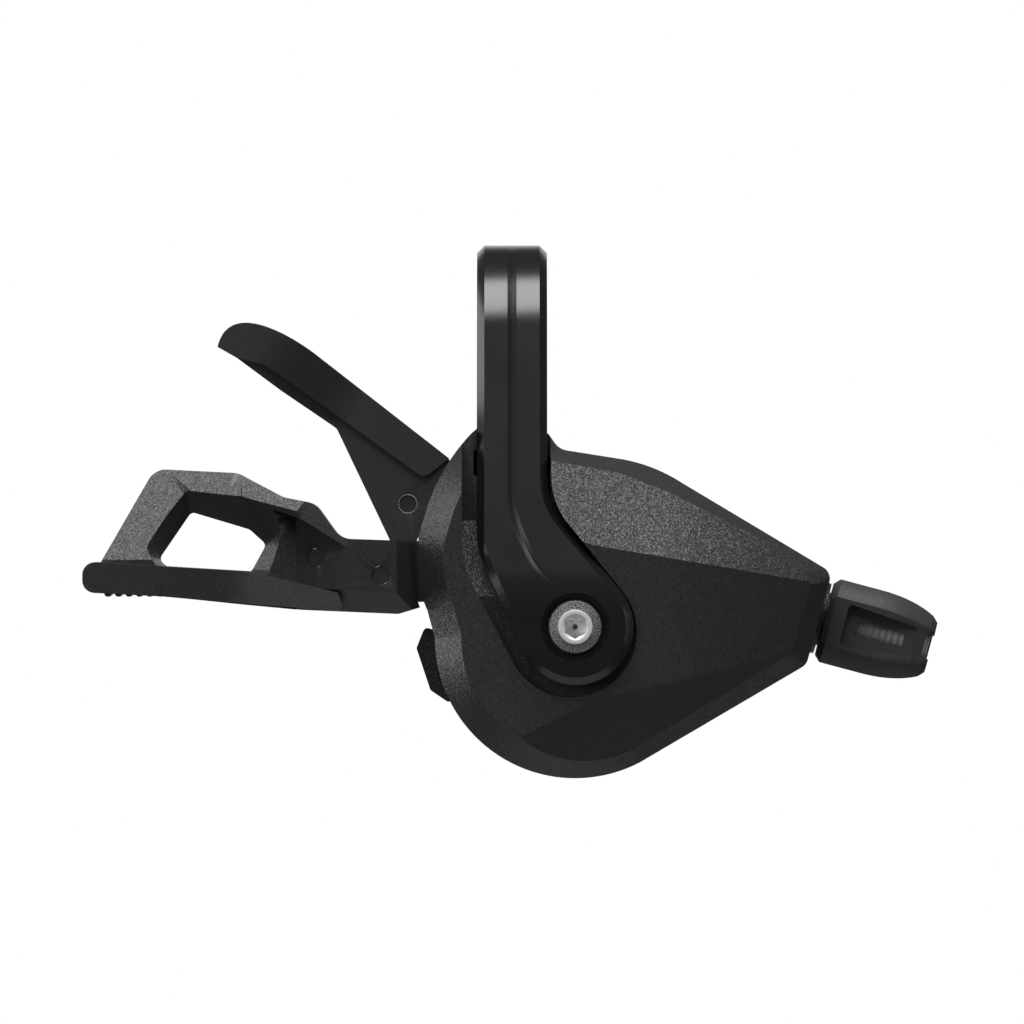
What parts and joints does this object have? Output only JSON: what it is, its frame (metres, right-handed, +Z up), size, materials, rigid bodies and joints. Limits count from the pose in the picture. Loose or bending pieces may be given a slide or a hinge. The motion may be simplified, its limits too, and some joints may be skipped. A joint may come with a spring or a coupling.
{
  "type": "trigger gear shifter",
  "caption": "Handlebar trigger shifter: clamp band with bolt, faceted housing, thumb lever with a window, release lever, cable adjuster, and an inner ratchet and drum.",
  "frame": {"origin": "centre of the handlebar clamp's bore", "axes": "+X along the handlebar, away from the levers; +Z up; +Y away from the viewer of the cover"},
  "size_m": [0.1031, 0.0452, 0.0646],
  "materials": {
    "black_moulding": "fine-grained black moulding",
    "satin_moulding": "satin black moulding",
    "drum_moulding": "plain dark moulding",
    "black_aluminium": "satin black coated aluminium",
    "bare_aluminium": "turned",
    "bolt_steel": "turned dark steel with a bright socket",
    "plate_steel": "stamped and tumbled",
    "spring_steel": "drawn wire and strip"
  },
  "bodies": {
    "housing": {"clamp_band": "black_aluminium", "clamp_bolt": "bolt_steel", "clamp_post": "plate_steel", "foot_screws": "plate_steel", "front_cover": "black_moulding", "rear_housing": "black_moulding", "cover_screws": "plate_steel", "cable_port_cap": "black_moulding", "frame_plate": "plate_steel", "base_plate": "plate_steel", "spacer_posts": "plate_steel", "main_shaft": "plate_steel", "shaft_washers": "plate_steel", "hold_pawl_post": "plate_steel", "drum_spring": "spring_steel", "main_lever_spring": "spring_steel", "release_lever_spring": "spring_steel", "cable_guide": "spring_steel", "adjuster_spring": "spring_steel"},
    "main_lever": {"main_lever_plate": "plate_steel", "main_lever_pad": "black_moulding", "main_lever_rivets": "plate_steel", "drive_pawl_pin": "plate_steel"},
    "drive_pawl": {"drive_pawl": "plate_steel"},
    "release_lever": {"release_lever_plate": "plate_steel", "release_lever_pad": "satin_moulding", "release_lever_rivet": "plate_steel"},
    "hold_pawl": {"hold_pawl": "plate_steel"},
    "drum": {"wire_drum": "drum_moulding", "ratchet_wheel": "plate_steel"},
    "adjuster_sleeve": {"adjuster_sleeve": "satin_moulding"},
    "adjuster_barrel": {"adjuster_barrel": "bare_aluminium"}
  },
  "joints": [
    {"name": "main_lever_push", "type": "hinge", "parent": "housing", "child": "main_lever", "pos_m": [0.0034, 0, -0.0241], "axis": [0, 1, 0], "range_deg": [0, 30], "stiffness_Nm_per_rad": 0.15, "springref_deg": -17.19},
    {"name": "release_lever_swing", "type": "hinge", "parent": "housing", "child": "release_lever", "pos_m": [0.0034, 0, -0.0241], "axis": [0, 1, 0], "range_deg": [-10, 10], "stiffness_Nm_per_rad": 0.3},
    {"name": "drum_turn", "type": "hinge", "parent": "housing", "child": "drum", "pos_m": [0.0034, 0, -0.0241], "axis": [0, 1, 0], "range_deg": [0, 165], "stiffness_Nm_per_rad": 0.01, "springref_deg": -28.65},
    {"name": "drive_pawl_drop", "type": "hinge", "parent": "main_lever", "child": "drive_pawl", "pos_m": [0.01403, 0, -0.02125], "axis": [0, 1, 0], "range_deg": [0, 13]},
    {"name": "hold_pawl_drop", "type": "hinge", "parent": "housing", "child": "hold_pawl", "pos_m": [0.00445, 0, -0.03605], "axis": [0, 1, 0], "range_deg": [-5, 13]},
    {"name": "adjuster_turn", "type": "hinge", "parent": "housing", "child": "adjuster_sleeve", "pos_m": [0.0383, -0.0053, -0.0314], "axis": [0.9659, 0, -0.2588], "range_deg": [-545, 545]},
    {"name": "adjuster_screw", "type": "slide", "parent": "adjuster_sleeve", "child": "adjuster_barrel", "axis": [0.9659, 0, -0.2588], "range_m": [-0.0012, 0.0012]}
  ],
  "couplings": [
    {"joint": "adjuster_turn", "follows": "adjuster_screw", "rad_per_m": 7854}
  ]
}
